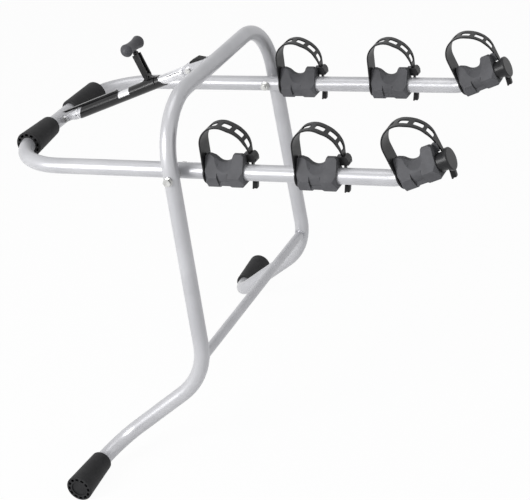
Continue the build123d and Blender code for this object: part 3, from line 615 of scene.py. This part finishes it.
bm = bmesh.new()
rows = []
for a in full_turn(TUBE_END_POINTS):
    pressed = any(abs(a - line) < PRESS_HALF_ANGLE for line in PRESSED_LINES)
    press = PRESS_DEPTH if pressed else 0.0
    rows.append([bm.verts.new(strut @ mm(x, -(r - press) * sin(a), (r - press) * cos(a)))
                 for x, r in TUBE_END])
ring_rows(bm, rows, closed_rows=True)
piece("inner_tube_end", bm, "strut_slider", "strut_bright")

# The black strips in the grooves, painted dark reflections of the polished tube
bm = bmesh.new()
for line in PRESSED_LINES:
    prism(bm, strut @ Matrix.Rotation(line, 4, "X"), PAINTED_REFLECTION_STRIP, -PAINTED_REFLECTION_HALF, PAINTED_REFLECTION_HALF)
piece("inner_tube_painted_reflections", bm, "strut_slider", "strut_black", smooth=False)

# Boot of the lever's mount, flowing into the tube
BOOT = [(184.0, 10.3), (190.0, 10.9), (195.0, 12.2), (198.6, 14.4), (200.8, 17.4), (211.2, 17.4),
        (213.4, 14.4), (217.0, 12.2), (222.0, 10.9), (228.0, 10.3), (228.0, 9.9), (184.0, 9.9)]
BOOT_HALF = 4.2
bm = bmesh.new()
prism(bm, strut, BOOT, -BOOT_HALF, BOOT_HALF)
boot = piece("lever_boot", bm, "strut_body", "strut_black", smooth=False)
soften(boot, width=0.8, angle=30.0, segments=3)

# Collar at the foot of the grip, in x up the lever from the strut's axis
LEVER_X = 206                  # along the strut
GRIP_COLLAR = [(62.4, 3.5), (62.4, 4.6), (63.4, 5.4), (65.2, 5.4), (66.4, 4.4), (67.6, 4.0),
               (67.6, 3.5)]
lever = strut @ Matrix.Translation(mm(LEVER_X, 0, 0)) @ Matrix.Rotation(-pi / 2, 4, "Y")
bm = bmesh.new()
turned(bm, lever, GRIP_COLLAR)
collar = piece("grip_collar", bm, "lever", "strut_black")
soften(collar, width=0.3, angle=30.0, segments=2)

# Camera, fitted to the photograph's tubes

PHOTO_WIDTH, FOCAL_PIXELS = 530.0, 1524.40
SENSOR_WIDTH = 36.0
FARTHEST = 50.0
CAMERA_PLACE = Vector((1.14813, -2.33523, 0.99209))
CAMERA_AHEAD = Vector((-0.386275, 0.813629, -0.434510))
CAMERA_ABOVE = Vector((-0.053511, 0.450512, 0.891165))

camera_data = bpy.data.cameras.new("camera")
camera_data.sensor_width = SENSOR_WIDTH
camera_data.lens = FOCAL_PIXELS / PHOTO_WIDTH * SENSOR_WIDTH
camera_data.clip_end = FARTHEST
camera = bpy.data.objects.new("camera", camera_data)
scene.collection.objects.link(camera)
ahead = CAMERA_AHEAD.normalized()
right = ahead.cross(CAMERA_ABOVE.normalized()).normalized()
camera_axes = Matrix((right, right.cross(ahead), -ahead)).transposed()
camera.matrix_world = Matrix.Translation(CAMERA_PLACE) @ camera_axes.to_4x4()
scene.camera = camera

# Light, world and floor

scene.view_settings.view_transform = "Standard"
WHITE = (1.0, 1.0, 1.0, 1.0)
WORLD_FILL = (0.96, 0.98, 1.0, 1.0)
FILL_LOW, FILL_HIGH = 0.50, 0.22          # strength at the horizon and overhead
FLOOR_HALF = 40
FLOOR_COLOR = (0.90, 0.90, 0.90, 1.0)
FLOOR_WHITE = 0.96                        # share of white in the floor as the camera sees it


def softbox(name, place, target, size, power):
    """A soft light aimed at a target, its sides in metres and its power in watts."""
    data = bpy.data.lights.new(name, "AREA")
    data.shape = "RECTANGLE"
    data.size, data.size_y = size
    data.energy = power
    obj = bpy.data.objects.new(name, data)
    obj.location = place
    aim = Vector(target) - Vector(place)
    obj.rotation_euler = aim.to_track_quat("-Z", "Y").to_euler()
    scene.collection.objects.link(obj)


softbox("key", (-1.7, -2.8, 1.1), (0.0, 0.0, -0.1), (1.5, 1.5), 88.0)
softbox("top", (-0.2, -0.3, 2.9), (0.0, 0.0, -0.1), (1.8, 1.8), 18.0)
softbox("side", (2.6, -0.9, 1.0), (0.0, 0.0, 0.0), (1.4, 1.8), 5.0)


def pale_ray(tree):
    """1 for the rays that show the plain white background, and 0 for those that light the part."""
    path = add_node(tree, "ShaderNodeLightPath")
    seen = path.outputs["Is Camera Ray"]
    for kind in ("Is Glossy Ray", "Is Transmission Ray"):
        either = add_node(tree, "ShaderNodeMath", links={0: seen, 1: path.outputs[kind]})
        either.operation = "MAXIMUM"
        seen = either.outputs[0]
    return seen


def white_world():
    """A world that looks white and lights the part softly, less from overhead."""
    world = bpy.data.worlds.new("world")
    world.use_nodes = True
    tree = world.node_tree
    tree.nodes.clear()
    sky = add_node(tree, "ShaderNodeTexCoord")
    height = add_node(tree, "ShaderNodeSeparateXYZ", links={0: sky.outputs["Generated"]})
    level = add_node(tree, "ShaderNodeMapRange", {
        "From Min": 0.0,
        "From Max": 1.0,
        "To Min": FILL_LOW,
        "To Max": FILL_HIGH,
    }, {"Value": height.outputs["Z"]})
    fill = add_node(tree, "ShaderNodeBackground", {"Color": WORLD_FILL},
                    {"Strength": level.outputs["Result"]})
    white = add_node(tree, "ShaderNodeBackground", {"Color": WHITE, "Strength": 1.0})
    mixed = add_node(tree, "ShaderNodeMixShader", links={
        "Fac": pale_ray(tree),
        1: fill.outputs[0],
        2: white.outputs[0],
    })
    add_node(tree, "ShaderNodeOutputWorld", links={"Surface": mixed.outputs[0]})
    return world


def pale_floor():
    """A material that looks nearly white and still takes the part's shadow."""
    material = bpy.data.materials.new("floor_pale")
    material.use_nodes = True
    tree = material.node_tree
    surface = tree.nodes["Principled BSDF"]
    surface.inputs["Base Color"].default_value = FLOOR_COLOR
    surface.inputs["Roughness"].default_value = 0.9
    surface.inputs["Specular IOR Level"].default_value = 0.1
    white = add_node(tree, "ShaderNodeEmission", {"Strength": 1.0})
    white_part = add_node(tree, "ShaderNodeMath", {1: FLOOR_WHITE}, {0: pale_ray(tree)})
    white_part.operation = "MULTIPLY"
    mixed = add_node(tree, "ShaderNodeMixShader", links={
        "Fac": white_part.outputs[0],
        1: surface.outputs[0],
        2: white.outputs[0],
    })
    tree.links.new(mixed.outputs[0], tree.nodes["Material Output"].inputs["Surface"])
    return material


scene.world = white_world()

floor_mesh = bpy.data.meshes.new("floor")
bm = bmesh.new()
for x, y in ((-1, -1), (1, -1), (1, 1), (-1, 1)):
    bm.verts.new((x * FLOOR_HALF, y * FLOOR_HALF, cad_box[0][2]))
bm.faces.new(bm.verts[:])
bm.to_mesh(floor_mesh)
bm.free()
floor_mesh.materials.append(pale_floor())
floor = bpy.data.objects.new("floor", floor_mesh)
scene.collection.objects.link(floor)
